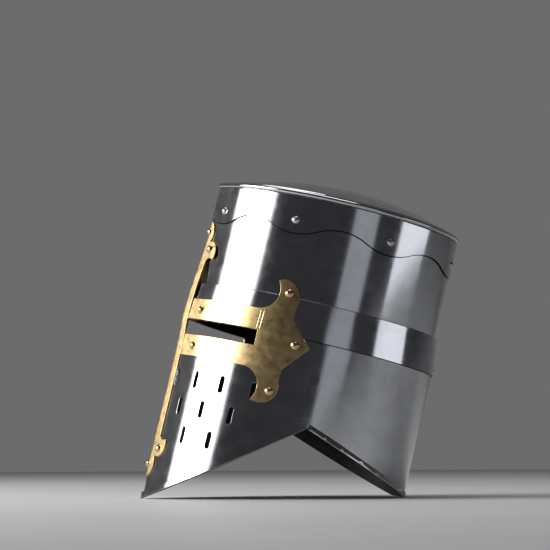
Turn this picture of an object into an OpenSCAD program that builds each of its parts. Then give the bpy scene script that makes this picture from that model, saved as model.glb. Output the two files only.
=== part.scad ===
// Great helm: steel plates, brass eye plates and keel bar, leather suspension inside.
// Each plate is made in the helmet's own upright frame: z = 0 at the crown rim, heights below it
// are negative, the keel faces -Y and the wearer's left is +X. pose() then leans the whole helmet
// back until the chin point and the nape edge both stand on z = 0.

/* [Shell] */
// Front to back size of the skull wall, over the keel
shell_depth = 238; // [225:1:250]
// Side to side size of the skull wall
shell_width = 187; // [176:1:200]
// Half of the angle between the two flat sides of the keel
keel_half_angle = 62; // [56:1:68]
// Radius of the back of the skull wall, seen from above
back_radius = 78; // [70:1:84]
// Thickness of the steel sheet
steel = 1.3; // [1:0.1:1.6]
// How far the face and neck plates stand outside the skull wall
plate_stand_off = 3.9; // [3:0.1:5]

/* [Crown] */
// Rise of the domed top plate above the rim
dome_rise = 21; // [10:1:26]
// Thickness of the rolled rim
rim_roll = 4.5; // [3.5:0.1:6]
// Depth of the middle line of the scalloped edge below the rim
scallop_depth = 35.7; // [32:0.1:40]
// Half of the height of a scallop
scallop_rise = 5.5; // [2:0.1:7]
// Number of scallops, each with one rivet
scallop_count = 7; // [5:1:7]
// Distance along the wall from the keel to the first scallop's middle
scallop_start = 19; // [16:1:24]
// Depth of the crown rivets below the rim
crown_rivet_depth = 28; // [24:1:31]

/* [Brow band] */
// Depth of the band's upper edge below the rim
band_top = 100.5; // [96:0.5:106]
// Height of the band
band_height = 37; // [30:1:42]

/* [Face and neck] */
// Height of each eye slot, measured down from the band
eye_slot_height = 15; // [12:0.5:18]
// Length of each eye slot's end from the keel, along the wall
eye_slot_end = 103; // [90:1:108]
// Depth of the chin point below the rim
chin_depth = 317.7; // [300:0.1:325]
// Depth of the notch at each side, where the face and neck plates meet
notch_depth = 218; // [205:1:226]
// Depth of the nape edge below the rim
nape_depth = 259.5; // [250:0.5:264]
// Place of the side seam along the front to back axis
seam_y = 11; // [6:1:16]
// How far the seam runs forward on its way down to the notch
seam_step = 3.5; // [0:0.5:6]
// Height of the folded hem along the lower edges
hem_height = 5; // [4:0.5:7]
// Height taken off the nape edge so that it rests on a flat
rest_cut = 3; // [1:0.5:4]

/* [Breath slots] */
// Length of each breath slot
breath_length = 16.5; // [12:0.5:19]
// Width of each breath slot
breath_width = 5; // [3:0.5:6]
// Distance along the wall from the keel to the first slot
breath_start = 12.2; // [12:0.1:14]
// Distance along the wall between two slots of a row
breath_pitch = 33.2; // [30:0.1:35]
// Depth of the first row's middle below the rim
breath_top = 195; // [192:0.5:200]
// Distance between rows
breath_row = 27; // [24:0.5:28]

/* [Brass] */
// Thickness of the brass sheet
brass = 1.2; // [1:0.1:1.5]
// Half width of the keel bar
bar_half_width = 8.6; // [7:0.1:9]
// Height of each brass arm, above and below its eye slot
arm_height = 20.5; // [17:0.5:24]

/* [Rivets] */
// Radius of every rivet's shank
shank_radius = 1.6; // [1.2:0.1:2]
// Radius of a steel rivet's head
steel_head = 3.8; // [3.2:0.1:4.4]
// Radius of a brass rivet's head
brass_head = 4.2; // [3.4:0.1:4.6]

/* [Liner] */
// Front to back size of the head that the leather band takes
head_length = 200; // [190:1:206]
// Side to side size of the head that the leather band takes
head_width = 160; // [150:1:164]
// Thickness of the leather
leather = 2; // [1.6:0.1:2.4]
// Depth of the leather band's upper edge below the rim
liner_top = 72; // [68:1:78]
// Height of the leather band
liner_height = 36; // [30:1:40]
// How far the liner stands behind the middle of the skull wall, clear of the keel's flats
liner_back = 6; // [5:0.5:7]
// Number of leather tongues over the head
tongue_count = 8; // [6:1:8]

/* [Hidden] */
$fn = 72;

// Plan of the skull wall: two flats at the keel, an arc along each side and an arc round the back,
// all tangent to each other. The side radius follows from the other sizes.
half_depth = shell_depth / 2;
half_width = shell_width / 2;
keel_y = -half_depth;
back_y = half_depth - back_radius;
keel_sin = sin(keel_half_angle);
keel_cos = cos(keel_half_angle);
side_k = (1 - keel_cos) / keel_sin;
side_q = back_y + half_depth - half_width * keel_cos / keel_sin;
side_p = half_width + side_q * side_k - back_radius;
side_square = half_width * half_width + side_q * side_q - back_radius * back_radius;
side_radius = (side_p - sqrt(side_p * side_p - side_k * side_k * side_square)) / (side_k * side_k);
side_x = half_width - side_radius;
side_y = back_y - side_q + side_k * side_radius;
// Turn of the side arc, as angles of its outward normal from +X
side_from = -keel_half_angle;
side_to = atan2(back_y - side_y, -side_x);
// Lengths along half of the wall: the flat, the side arc and the back arc
flat_length = (side_x + side_radius * keel_cos) / keel_sin;
side_end = flat_length + side_radius * (side_to - side_from) * PI / 180;
back_centre = side_end + back_radius * (90 - side_to) * PI / 180;

// Heights below the rim, as z
band_z1 = -band_top;
band_z0 = -band_top - band_height;
slot_z0 = band_z0 - eye_slot_height;
eye_z = band_z0 - eye_slot_height / 2;
wall_top = -rim_roll;
liner_z1 = -liner_top;
liner_z0 = -liner_top - liner_height;

// Distances outside the skull wall's outer face
plate_out = plate_stand_off + steel;
band_out_top = 2 * steel;
band_out = plate_out + steel;
band_slope = (band_out - band_out_top) / band_height;
hem_out = plate_out + steel;

// Lean of the standing helmet, from the chin point to the raised nape edge
chin_y = keel_y - hem_out / keel_sin;
nape_y = half_depth + hem_out;
rest_z = -nape_depth + rest_cut;
lean = atan2(chin_depth + rest_z, nape_y - chin_y);
floor_shift = chin_y * sin(lean) + chin_depth * cos(lean);
// Ends of the leaning helmet along Y, which centre it on the origin
front_end = chin_y * cos(lean) - chin_depth * sin(lean);
rim_out = 2 * steel + 0.2;
back_end = (half_depth + rim_out) * cos(lean) - rim_roll / 2 * sin(lean);
centre_shift = -(front_end + back_end) / 2;

// The flats of the keel run on inside the side arcs by lap, and are thinner by relief on each face
lap = 1;
relief = 0.03;
scallop_pitch = 2 * back_centre / scallop_count;
// Place of the dome's highest point along the front to back axis
dome_y = 6;
reach = 400;

// Where the outward normal of the wall stands at a length s from the keel: [x, y, angle]
function wall_at(s) =
    s < flat_length ? [s * keel_sin, keel_y + s * keel_cos, -keel_half_angle] :
    s < side_end ? arc_at([side_x, side_y], side_radius, side_from + turn(s - flat_length, side_radius)) :
    arc_at([0, back_y], back_radius, side_to + turn(s - side_end, back_radius));
function turn(length, radius) = length / radius * 180 / PI;
function arc_at(centre, radius, angle) =
    [centre[0] + radius * cos(angle), centre[1] + radius * sin(angle), angle];

// Length round the wall brought back to -back_centre..back_centre
function wrapped(s) = s > back_centre ? s - 2 * back_centre : s;

// Distance of the band's outer face outside the wall at height z, which the eye plates lie on
function band_face(z) = band_out - band_slope * (z - band_z0);

// Eye plate: half height over both arms, middle of its head along the wall, and the head's points
arm_half = eye_slot_height / 2 + arm_height;
head_s = 125;
head_back = 100;
head_notch = [133.2, 24.5];
head_tip = 154;
lobe_radius = 16.5;
lobe_middle = [118, 42.5];
lobe_top = 62;
lobe_hollow = 18;

// Keel bar: outer end of each fleur, and its points measured from that end
fleur_top = 38;
fleur_bottom = 295.5;
fleur_middle = 13;
fleur_leaf = [11, 29];
bud_width = 8;
// Side view of the bar's inner face: distance outside the wall and z
bar_path = [
    [0, -fleur_top], [0, -54], [1.5, -73], [5.2, -108], [band_out, band_z0 + 9.5],
    [band_out, band_z0 - 1.5], [plate_out, band_z0 - 22], [plate_out, -fleur_bottom]
];

// Rivet places: [length along the wall, z, distance outside under the head, distance of the tail]
seat_gap = 0.45;
washer = 0.8;
crown_tail = -steel - leather - washer;
crown_spots = [for (k = [0 : scallop_count - 1])
    [wrapped(scallop_start + k * scallop_pitch), -crown_rivet_depth, steel, crown_tail]];
eye_spots = [
    [29, eye_z + 17, band_face(eye_z + 17) + brass + seat_gap, -steel],
    [124, eye_z + 47, band_face(eye_z + 47) + brass + seat_gap, -steel],
    [140.5, eye_z, plate_out + brass, plate_stand_off],
    [29, eye_z - 18, plate_out + brass, plate_stand_off],
    [127, eye_z - 47, plate_out + brass, plate_stand_off]
];
nape_spot = [back_centre, band_z0 + 6, band_face(band_z0 + 6) + seat_gap, -steel];
bar_spots = [
    [fleur_leaf[0], -fleur_top - fleur_leaf[1], 1 + brass + seat_gap, -steel],
    [fleur_leaf[0], -fleur_bottom + fleur_leaf[1], plate_out + brass, plate_stand_off]
];
bar_middle_spots = [-fleur_top - fleur_middle + 1.5, -fleur_bottom + fleur_middle];

// Side view of the lower edges: the face's runs from the notch down to the chin point and the
// neck's from the notch down to the nape
notch_y = seam_y - seam_step;
notch_z = -notch_depth;
seam_run = 30;
far_y = chin_y - 20;
back_far_y = nape_y + 20;
face_slope = (chin_depth - notch_depth) / (notch_y - chin_y);
neck_slope = (nape_depth - notch_depth) / (nape_y - notch_y);
function face_low(y) = notch_z - face_slope * (notch_y - y);
function neck_low(y) = notch_z - neck_slope * (y - notch_y);
function rest_line(y) = -chin_depth + (y - chin_y) * tan(lean);
// The face plate's edge stands this far up inside its hem, and the hem is this much thicker inwards
hem_fold = 0.3;
hem_grip = 0.6;
// Front end of the face plate's lap over the neck plate, and the length of its joggle
lap_y = seam_y - 12;
joggle = 2.5;
neck_hem_y = notch_y + 1.5;

// Liner: the band is an oval of two half rounds and two straights
oval_radius = head_width / 2;
oval_shift = (head_length - head_width) / 2;
hanger_width = 22;
hanger_bend = -46;
tongue_top = -30;
tongue_foot = liner_z1 - 8;
tongue_hole = 16;
// Distance from the axis to the holes in the tongues' tips, which the lace runs over
lace_radius = tongue_hole + 7;
pad_thick = 8;
liner_rivet_z = liner_z1 - 5;

// Stands the helmet on its chin point and its nape edge, centred over the origin
module pose() {
    translate([0, centre_shift, floor_shift]) rotate([-lean, 0, 0]) children();
}

// Turns a flat drawing into the wall: drawing x runs along the wall away from the keel, y is up
module on_wall(s, z) {
    p = wall_at(abs(s));
    mirror([s < 0 ? 1 : 0, 0, 0])
        translate([p[0], p[1], z]) rotate([0, 0, p[2]]) rotate([90, 0, 90]) children();
}

// Turns a drawing of the helmet's side (x = front to back, y = up) into a block as wide as reach
module side_block(points) {
    rotate([90, 0, 90]) translate([0, 0, -reach / 2]) linear_extrude(reach) polygon(points);
}

// Wedge in plan between two directions from a centre, used to cut arcs to their own stretch
module sector(centre, from, to, z0, z1) {
    translate([centre[0], centre[1], z0]) linear_extrude(z1 - z0) flat_sector(from, to);
}
module flat_sector(from, to) {
    polygon([[0, 0], ray(from), 1.6 * ray((from + to) / 2), ray(to)]);
}
function ray(angle) = reach * [cos(angle), sin(angle)];

// Solid inside the wall's plan, grown by d0 at its foot z0 and by d1 at its top z1
module column(z0, z1, d0, d1) {
    tall = z1 - z0;
    intersection() {
        translate([0, back_y, z0]) cylinder(h = tall, r1 = back_radius + d0, r2 = back_radius + d1);
        sector([0, back_y], side_to, 180 - side_to, z0, z1);
    }
    for (m = [0, 1]) mirror([m, 0, 0]) intersection() {
        translate([side_x, side_y, z0]) cylinder(h = tall, r1 = side_radius + d0, r2 = side_radius + d1);
        sector([side_x, side_y], side_from, side_to, z0, z1);
    }
    intersection() {
        keel_side(z0, z1, d0, d1);
        mirror([1, 0, 0]) keel_side(z0, z1, d0, d1);
    }
}

// Block behind one flat of the keel, whose face stands at d0 at its foot and at d1 at its top
module keel_side(z0, z1, d0, d1) {
    translate([0, keel_y, 0]) rotate([0, 0, -keel_half_angle]) rotate([90, 0, 0])
        translate([0, 0, -flat_length]) linear_extrude(flat_length + reach)
            polygon([[-half_depth, z0], [d0, z0], [d1, z1], [-half_depth, z1]]);
}

// Sheet wall between z0 and z1; its outer face stands at d0 below and d1 above
module wall(z0, z1, d0, d1, thick) {
    intersection() {
        arc_wall([0, back_y], back_radius, z0, z1, d0, d1, thick);
        sector([0, back_y], side_to, 180 - side_to, z0 - 1, z1 + 1);
    }
    for (m = [0, 1]) mirror([m, 0, 0]) {
        intersection() {
            arc_wall([side_x, side_y], side_radius, z0, z1, d0, d1, thick);
            sector([side_x, side_y], side_from, side_to, z0 - 1, z1 + 1);
        }
        intersection() {
            translate([0, keel_y, 0]) rotate([0, 0, -keel_half_angle]) rotate([90, 0, 0])
                translate([0, 0, -flat_length - lap]) linear_extrude(2 * flat_length)
                    polygon([
                        [d0 - thick + relief, z0], [d0 - relief, z0],
                        [d1 - relief, z1], [d1 - thick + relief, z1]
                    ]);
            translate([0, keel_y - half_depth, z0 - 1]) cube([reach, reach, z1 - z0 + 2]);
        }
    }
}
// Full ring of the wall about one of its arc centres
module arc_wall(centre, radius, z0, z1, d0, d1, thick) {
    translate(centre) rotate_extrude()
        polygon([[radius + d0 - thick, z0], [radius + d0, z0], [radius + d1, z1], [radius + d1 - thick, z1]]);
}

// Plan of the wall grown by d, as a flat drawing
module plan(d) {
    corner = [side_x + (side_radius + d) * keel_cos, side_y - (side_radius + d) * keel_sin];
    intersection() {
        translate([0, back_y]) circle(r = back_radius + d);
        translate([0, back_y]) flat_sector(side_to, 180 - side_to);
    }
    for (m = [0, 1]) mirror([m, 0, 0]) intersection() {
        translate([side_x, side_y]) circle(r = side_radius + d);
        translate([side_x, side_y]) flat_sector(side_from, side_to);
    }
    polygon([[0, keel_y - d / keel_sin], corner, [0, side_y], [-corner[0], corner[1]]]);
}

// Round-headed rivet through the wall, from its tail inside to its head outside
module rivet(spot, head, tail = 2.6) {
    grip = spot[2] - spot[3];
    dome = head * 0.62;
    ball = (head * head + dome * dome) / (2 * dome);
    on_wall(spot[0], spot[1]) translate([0, 0, spot[3]]) {
        cylinder(h = grip + dome / 2, r = shank_radius);
        translate([0, 0, -0.9]) cylinder(h = 0.9, r = tail);
        translate([0, 0, grip]) intersection() {
            translate([0, 0, dome - ball]) sphere(r = ball);
            cylinder(h = dome, r = head);
        }
    }
}

// Bores for a list of rivets
module bores(spots) {
    for (spot = spots) on_wall(spot[0], spot[1]) translate([0, 0, -8]) cylinder(h = 24, r = shank_radius);
}
function mirrored(spots) = [for (spot = spots) [-spot[0], spot[1], spot[2], spot[3]]];

// Domed plate that closes the crown, with its edge rolled into a round rim
module top_plate() {
    color("silver") pose() difference() {
        hull() {
            slice(-rim_roll, rim_out - 1.2);
            slice(-rim_roll * 0.75, rim_out - 0.2);
            slice(-rim_roll / 2, rim_out);
            slice(-rim_roll / 4, rim_out - 0.2);
            dome(0, rim_out - 1.2);
        }
        hull() {
            slice(-rim_roll - 1, -steel - 0.4);
            dome(-steel, -steel - 0.4);
        }
    }
}
// Thin slice of the plan grown by d, with its lower face at z
module slice(z, d) {
    translate([0, 0, z]) linear_extrude(0.05) plan(d, $fn = 48);
}
// Slices of the dome over the plan grown by d
module dome(lift, d) {
    for (size = [1, 0.93, 0.82, 0.66, 0.46, 0.22])
        translate([0, dome_y, (dome_rise - 0.05) * (1 - size * size) + lift - 0.05]) linear_extrude(0.05)
            scale(size) translate([0, -dome_y]) plan(d, $fn = 48);
}

// Scalloped strip round the crown, riveted to the skull wall
module crown_skirt() {
    arc = (pow(scallop_pitch / 4, 2) + pow(scallop_rise, 2)) / (2 * scallop_rise);
    middle = -scallop_depth;
    color("silver") pose() difference() {
        union() {
            difference() {
                wall(middle, wall_top, steel, steel, steel);
                for (k = [0 : scallop_count - 1])
                    on_wall(wrapped(scallop_start + (k + 0.5) * scallop_pitch), middle + scallop_rise - arc)
                        translate([0, 0, -8]) cylinder(h = 16, r = arc);
            }
            intersection() {
                wall(middle - scallop_rise, middle, steel, steel, steel);
                for (k = [0 : scallop_count - 1])
                    on_wall(wrapped(scallop_start + k * scallop_pitch), middle - scallop_rise + arc)
                        translate([0, 0, -8]) cylinder(h = 16, r = arc);
            }
        }
        bores(crown_spots);
    }
}

// Skull wall from the rim down to the eye slots
module upper_shell() {
    color("lightsteelblue") pose() difference() {
        wall(band_z0, wall_top, 0, 0, steel);
        bores(crown_spots);
        bores([eye_spots[0], eye_spots[1], bar_spots[0], nape_spot]);
        bores(mirrored([eye_spots[0], eye_spots[1], bar_spots[0]]));
        keel_bore(bar_middle_spots[0]);
    }
}

// Band round the brow, over the joint between the skull wall and the lower plates
module brow_band() {
    color("silver") pose() difference() {
        wall(band_z0, band_z1, band_out, band_out_top, steel);
        bores([eye_spots[0], nape_spot]);
        bores(mirrored([eye_spots[0]]));
    }
}

// Sheet of the lower plates: upright below the band, leaning in to the skull wall under it
module lower_sheet(out) {
    wall(-chin_depth - 2, band_z0, out, out, steel);
    wall(band_z0, band_z1, out, out - plate_stand_off, steel);
}

// Face plate with its eye slots and breath slots; its back margin laps over the neck plate
module face_plate() {
    color("gainsboro") pose() difference() {
        union() {
            intersection() {
                lower_sheet(plate_out);
                side_block([
                    [far_y, face_low(far_y) + hem_fold], [lap_y, face_low(lap_y) + hem_fold],
                    [lap_y, 0], [far_y, 0]
                ]);
            }
            intersection() {
                wall(-chin_depth, band_z0 - 0.5, hem_out, hem_out, steel);
                side_block([
                    [lap_y - joggle, face_low(lap_y - joggle) + hem_fold], [notch_y, notch_z + hem_fold],
                    [seam_y, notch_z + seam_run], [seam_y, 0], [lap_y - joggle, 0]
                ]);
            }
            intersection() {
                wall(-chin_depth - 2, notch_z + hem_height, hem_out, hem_out, steel + hem_grip);
                side_block([
                    [far_y, face_low(far_y)], [notch_y, notch_z],
                    [notch_y, notch_z + hem_height], [far_y, face_low(far_y) + hem_height]
                ]);
            }
        }
        for (m = [0, 1]) mirror([m, 0, 0]) {
            eye_slot();
            breath_slots();
        }
        bores(eye_spots);
        bores(mirrored(eye_spots));
        bores([bar_spots[1]]);
        bores(mirrored([bar_spots[1]]));
        keel_bore(bar_middle_spots[1]);
    }
}
// Window of one eye, from beside the keel to the slot's end
module eye_slot() {
    eye_side(bar_half_width - 2.4, eye_slot_end, slot_z0, band_z0);
}
// Block between two lengths along the wall, with ends square to the wall
module eye_side(from, to, z0, z1) {
    a = wall_at(from);
    b = wall_at(to);
    translate([0, 0, z0]) linear_extrude(z1 - z0)
        polygon([off(a, -30), off(b, -30), off(b, 60), off(b, 60) + [0, -60], off(a, 60)]);
}
function off(p, d) = [p[0] + d * cos(p[2]), p[1] + d * sin(p[2])];
// Breath slots of one cheek: rows of four, three and two, each row starting half a pitch later
module breath_slots() {
    for (row = [0 : 2], k = [0 : 3 - row])
        on_wall(breath_start + (k + row / 2) * breath_pitch, -breath_top - row * breath_row)
            translate([0, 0, -4]) linear_extrude(18) {
                for (end = [-1, 1]) translate([0, end * (breath_length - breath_width) / 2])
                    circle(d = breath_width);
                square([breath_width, breath_length - breath_width], center = true);
            }
}

// Neck plate, from under the face plate's back margin round the nape
module neck_plate() {
    color("gainsboro") pose() difference() {
        union() {
            intersection() {
                lower_sheet(plate_out);
                side_block([
                    [lap_y + 0.2, 0], [lap_y + 0.2, notch_z + 1],
                    [notch_y, notch_z + 1], [notch_y + 1, neck_low(notch_y + 1)],
                    [back_far_y, neck_low(back_far_y)], [back_far_y, 0]
                ]);
            }
            intersection() {
                wall(-chin_depth, notch_z + hem_height, hem_out, hem_out, steel);
                side_block([
                    [neck_hem_y, neck_low(neck_hem_y)], [back_far_y, neck_low(back_far_y)],
                    [back_far_y, neck_low(back_far_y) + hem_height],
                    [neck_hem_y, neck_low(neck_hem_y) + hem_height]
                ]);
            }
        }
        bores([nape_spot]);
        rest_plane();
    }
}
// Everything below the plane that the chin point and the nape rest on
module rest_plane() {
    side_block([[0, rest_line(0)], [reach, rest_line(reach)], [reach, -reach], [0, -reach]]);
}

// Brass bar folded over the keel, with a fleur at each end
module keel_bar() {
    color("goldenrod") pose() difference() {
        for (m = [0, 1]) mirror([m, 0, 0]) intersection() {
            translate([0, keel_y, 0]) rotate([0, 0, -keel_half_angle]) rotate([90, 0, 0])
                translate([0, 0, -30]) linear_extrude(60)
                    polygon(concat(bar_path, [
                        for (k = [len(bar_path) - 1 : -1 : 0]) bar_path[k] + [brass, 0]
                    ]));
            on_wall(0, 0) translate([0, 0, -20]) linear_extrude(40) bar_outline();
            translate([0, keel_y - 30, -reach]) cube([reach, reach, reach]);
        }
        bores(bar_spots);
        bores(mirrored(bar_spots));
        for (z = bar_middle_spots) keel_bore(z);
    }
}
// One half of the bar's outline on its flat, x from the fold and y up
module bar_outline() {
    translate([-5, -fleur_bottom + 30]) square([bar_half_width + 5, fleur_bottom - fleur_top - 60]);
    translate([0, -fleur_top]) mirror([0, 1]) fleur();
    translate([0, -fleur_bottom]) fleur();
}
// Half fleur: a pointed bud, then a leaf that curls back towards the bar
module fleur() {
    bud = (pow(bud_width, 2) + pow(fleur_middle, 2)) / (2 * bud_width);
    translate([bud_width - bud, fleur_middle]) circle(r = bud);
    difference() {
        translate([9.5, 33]) circle(r = 12);
        translate([15, 46.5]) circle(r = 8.5);
    }
    translate([-5, 28]) square([bar_half_width + 5, 20]);
}
// Bore through the fold of the keel
module keel_bore(z) {
    translate([0, keel_y + 8, z]) rotate([90, 0, 0]) cylinder(h = 24, r = shank_radius);
}

// Brass plate round one eye slot: two arms and a three-pointed head with curled lobes
module eye_plate(side) {
    mirror([side < 0 ? 1 : 0, 0, 0]) difference() {
        union() {
            intersection() {
                wall(
                    band_z0, eye_z + lobe_top,
                    band_out + brass, band_face(eye_z + lobe_top) + brass, brass
                );
                eye_outline_block();
            }
            intersection() {
                wall(band_z0 - brass, band_z0, band_out + brass, band_out + brass, band_out - plate_out + brass);
                eye_outline_block();
            }
            intersection() {
                wall(eye_z - lobe_top, band_z0, plate_out + brass, plate_out + brass, brass);
                eye_outline_block();
            }
        }
        eye_slot();
        bores(eye_spots);
    }
}
// Outline of the eye plate pushed through the wall: the arms along it, the head square to it
module eye_outline_block() {
    eye_side(bar_half_width + 0.6, eye_slot_end + 2, eye_z - arm_half, eye_z + arm_half);
    on_wall(head_s, eye_z) translate([0, 0, -6]) linear_extrude(20) eye_head();
}
// Head of the eye plate, drawn about the middle of its slot, x from head_s
module eye_head() {
    translate([-head_s, 0]) {
        for (m = [0, 1]) mirror([0, m]) {
            polygon([[head_back, -1], [head_back, arm_half], head_notch, [head_tip, 0], [head_tip - 1, -1]]);
            difference() {
                union() {
                    translate(lobe_middle) circle(r = lobe_radius);
                    translate([head_back, 20]) square([head_notch[0] - head_back, lobe_middle[1] - 20]);
                }
                translate([head_back - 3, arm_half + lobe_hollow]) circle(r = lobe_hollow);
            }
        }
    }
}
module eye_plate_left() {
    color("goldenrod") pose() eye_plate(1);
}
module eye_plate_right() {
    color("goldenrod") pose() eye_plate(-1);
}

// Rivets
module crown_rivets() {
    color("silver") pose() for (spot = crown_spots) rivet(spot, steel_head);
}
module crown_rivet_washers() {
    color("dimgray") pose() for (spot = crown_spots)
        on_wall(spot[0], spot[1]) translate([0, 0, spot[3]]) difference() {
            cylinder(h = washer, r = 5);
            translate([0, 0, -1]) cylinder(h = 4, r = shank_radius);
        }
}
module keel_bar_rivets() {
    color("gold") pose() {
        for (spot = concat(bar_spots, mirrored(bar_spots))) rivet(spot, brass_head);
        keel_rivet(bar_middle_spots[0], brass, -steel);
        keel_rivet(bar_middle_spots[1], plate_out + brass, plate_stand_off);
    }
}
// Rivet on the fold: its head sits saddle-wise over the keel
module keel_rivet(z, out, inside) {
    seat = keel_y - out / keel_sin;
    back = keel_y - inside / keel_sin + 1.5;
    difference() {
        intersection() {
            translate([0, seat + brass_head - 2.4, z]) sphere(r = brass_head);
            translate([-reach / 2, seat - 5, z - 10]) cube([reach, 7.6, 20]);
        }
        column(z - 10, z + 10, out, out);
    }
    translate([0, back + 1, z]) rotate([90, 0, 0]) cylinder(h = back + 1 - seat + 1, r = shank_radius);
    translate([0, back + 1, z]) rotate([90, 0, 0]) cylinder(h = 1, r = 2.6);
}
module eye_rivets_left() {
    color("gold") pose() for (spot = eye_spots) rivet(spot, brass_head);
}
module eye_rivets_right() {
    color("gold") pose() for (spot = mirrored(eye_spots)) rivet(spot, brass_head);
}
module nape_rivet() {
    color("silver") pose() rivet(nape_spot, 3, 2.4);
}

// Oval block of the liner, grown by out
module oval(z0, z1, out) {
    translate([0, liner_back, z0]) linear_extrude(z1 - z0) {
        for (end = [-1, 1]) translate([0, end * oval_shift]) circle(r = oval_radius + out);
        square([2 * (oval_radius + out), 2 * oval_shift], center = true);
    }
}
// Foot of a hanger on the band's outer face: [x, y, angle], straight in from a point of the wall
function band_foot(x, y) =
    let (
        middle = liner_back + min(max(y - liner_back, -oval_shift), oval_shift),
        angle = atan2(y - middle, x)
    )
    [(oval_radius + leather) * cos(angle), middle + (oval_radius + leather) * sin(angle), angle];
function hanger_foot(s) =
    let (p = wall_at(abs(s)))
    band_foot(s < 0 ? -p[0] : p[0], p[1]);

// Leather straps that hang the headband from the crown rivets
module liner_hangers() {
    color("saddlebrown") pose() difference() {
        for (spot = crown_spots) {
            intersection() {
                wall(hanger_bend, -20, -steel, -steel, leather);
                on_wall(spot[0], 0)
                    translate([-hanger_width / 2, -reach, -12]) cube([hanger_width, reach, 24]);
            }
            hanger_drop(spot[0]);
        }
        bores(crown_spots);
        liner_bores();
    }
}
// Lower part of one hanger, from the wall in to the outer face of the headband
module hanger_drop(s) {
    p = wall_at(abs(s));
    foot = hanger_foot(s);
    hull() {
        on_wall(s, hanger_bend) translate([2 - hanger_width / 2, 0, -steel - leather])
            cube([hanger_width - 4, 0.4, leather]);
        for (z = [liner_z1 + 1, liner_z1 - 11]) translate([foot[0], foot[1], z]) rotate([0, 0, foot[2]])
            translate([0.3, 3 - hanger_width / 2, 0]) cube([leather, hanger_width - 6, 0.4]);
    }
}
// Places the children at each small rivet of the headband, z along the rivet and out of the band
module at_liner_rivets() {
    for (spot = crown_spots) {
        foot = hanger_foot(spot[0]);
        translate([foot[0], foot[1], liner_rivet_z]) rotate([0, 0, foot[2]]) rotate([0, 90, 0]) children();
    }
}
module liner_bores() {
    at_liner_rivets() translate([0, 0, -6]) cylinder(h = 12, r = shank_radius);
}
module liner_rivets() {
    color("gold") pose() at_liner_rivets() {
        translate([0, 0, -leather - 0.7]) cylinder(h = 2 * leather + 1.7, r = shank_radius);
        translate([0, 0, leather + 0.3]) cylinder(h = 0.9, r1 = 3.4, r2 = 2.4);
        translate([0, 0, -leather - 0.8]) cylinder(h = 0.8, r1 = 2.2, r2 = 3);
    }
}
// Leather band round the head
module liner_headband() {
    color("saddlebrown") pose() difference() {
        oval(liner_z0, liner_z1, leather);
        oval(liner_z0 - 1, liner_z1 + 1, 0);
        liner_bores();
    }
}
// Leather tongues that arch over the head from inside the band to the lace
module liner_tongues() {
    color("peru") pose() translate([0, liner_back, 0])
        for (k = [0 : tongue_count - 1]) tongue((k + 0.5) * 360 / tongue_count);
}
module tongue(angle) {
    side = abs(oval_shift * sin(angle));
    length = side + sqrt(pow(oval_radius, 2) - pow(oval_shift * cos(angle), 2)) - 0.3;
    drop = tongue_top - tongue_foot;
    arch = (length * length + drop * drop) / (2 * drop);
    rotate([0, 0, angle]) intersection() {
        translate([0, 0, tongue_top - arch]) rotate([90, 0, 0]) difference() {
            cylinder(h = 80, r = arch, center = true);
            cylinder(h = 82, r = arch - leather, center = true);
        }
        difference() {
            translate([0, 0, tongue_foot]) linear_extrude(-tongue_foot)
                polygon([[tongue_hole, -5], [length + 5, -24], [length + 5, 24], [tongue_hole, 5]]);
            translate([lace_radius, 0, tongue_foot]) cylinder(h = -tongue_foot, r = 2);
        }
    }
}
// Lace that draws the tongues' tips together, laid over their holes and knotted
module liner_lace() {
    color("tan") pose() translate([0, liner_back, tongue_top - 1]) {
        rotate_extrude() translate([lace_radius, 0]) circle(d = 3);
        translate([lace_radius, 0, 1]) sphere(d = 6);
    }
}
// Padded rolls inside the headband at the brow and the nape
module head_pad(from) {
    difference() {
        oval(liner_z0 + 4, liner_z1 - 12, -0.3);
        oval(liner_z0, liner_z1, -pad_thick);
        translate([0, liner_back, -reach]) linear_extrude(reach) flat_sector(from, from + 260);
    }
}
module brow_pad() {
    color("burlywood") pose() head_pad(-40);
}
module nape_pad() {
    color("burlywood") pose() head_pad(140);
}

top_plate();
crown_skirt();
upper_shell();
brow_band();
face_plate();
neck_plate();
keel_bar();
eye_plate_left();
eye_plate_right();
crown_rivets();
crown_rivet_washers();
keel_bar_rivets();
eye_rivets_left();
eye_rivets_right();
nape_rivet();
liner_hangers();
liner_headband();
liner_tongues();
liner_lace();
liner_rivets();
brow_pad();
nape_pad();
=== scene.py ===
"""Looks of the great helm: polished steel plates, brass cross and leather suspension.

Shapes are made in the helmet's upright frame in millimetres (z = 0 at the crown rim, heights below
it negative, -Y the face, +X the wearer's left) and place() leans them and turns them into metres.
"""
import math

import bpy
import numpy as np
from mathutils import Matrix, Vector
from mathutils.geometry import delaunay_2d_cdt


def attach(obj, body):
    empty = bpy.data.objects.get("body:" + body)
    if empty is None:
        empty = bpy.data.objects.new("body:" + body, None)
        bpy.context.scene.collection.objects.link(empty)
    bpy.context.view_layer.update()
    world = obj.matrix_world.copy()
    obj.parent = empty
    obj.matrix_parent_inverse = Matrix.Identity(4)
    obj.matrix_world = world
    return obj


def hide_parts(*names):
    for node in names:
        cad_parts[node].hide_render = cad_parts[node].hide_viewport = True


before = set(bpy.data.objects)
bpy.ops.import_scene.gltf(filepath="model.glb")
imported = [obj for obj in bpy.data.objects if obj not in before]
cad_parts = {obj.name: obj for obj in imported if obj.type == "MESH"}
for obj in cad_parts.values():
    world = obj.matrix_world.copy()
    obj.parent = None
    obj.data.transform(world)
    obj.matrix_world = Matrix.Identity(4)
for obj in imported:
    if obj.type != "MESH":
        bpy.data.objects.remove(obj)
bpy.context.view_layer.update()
random = np.random.default_rng(7)

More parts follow.
